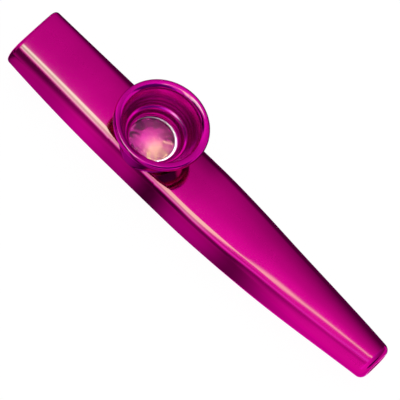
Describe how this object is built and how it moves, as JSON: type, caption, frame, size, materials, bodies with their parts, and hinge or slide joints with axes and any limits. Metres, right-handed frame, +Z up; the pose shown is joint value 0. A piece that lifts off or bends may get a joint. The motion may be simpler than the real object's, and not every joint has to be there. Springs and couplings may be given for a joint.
{
  "type": "kazoo",
  "caption": "Metal kazoo: a wide mouth end tapering to a round outlet, with a flared cup screwed over a clamped film.",
  "frame": {"origin": "centre of the footprint on the table, under the middle of the length", "axes": "+X from the wide mouth end to the narrow outlet end, +Z up along the cup's axis, out of the bowl"},
  "size_m": [0.12, 0.0248, 0.022],
  "materials": {
    "body_metal": "polished, anodised magenta",
    "turned_metal": "polished, anodised magenta, fine turning rings",
    "gasket_fibre": "matt",
    "clear_film": "clear plastic film, glossy",
    "hoop_plastic": "milky white, satin"
  },
  "bodies": {
    "body": {"upper_shell": "body_metal", "lower_shell": "body_metal", "turret_collar": "turned_metal", "seat_gasket": "gasket_fibre", "membrane_film": "clear_film", "membrane_hoop": "hoop_plastic"},
    "press_ring": {"press_ring": "turned_metal"},
    "cup": {"cup": "turned_metal"}
  },
  "joints": [
    {"name": "cup_lift", "type": "slide", "parent": "body", "child": "press_ring", "axis": [0, 0, 1], "range_m": [0, 0.002]},
    {"name": "cup_turn", "type": "hinge", "parent": "press_ring", "child": "cup", "pos_m": [-0.019, 0, 0.0137], "axis": [0, 0, 1], "range_deg": [0, 720]}
  ],
  "couplings": [
    {"joint": "cup_lift", "follows": "cup_turn", "m_per_rad": 0.00015915}
  ]
}
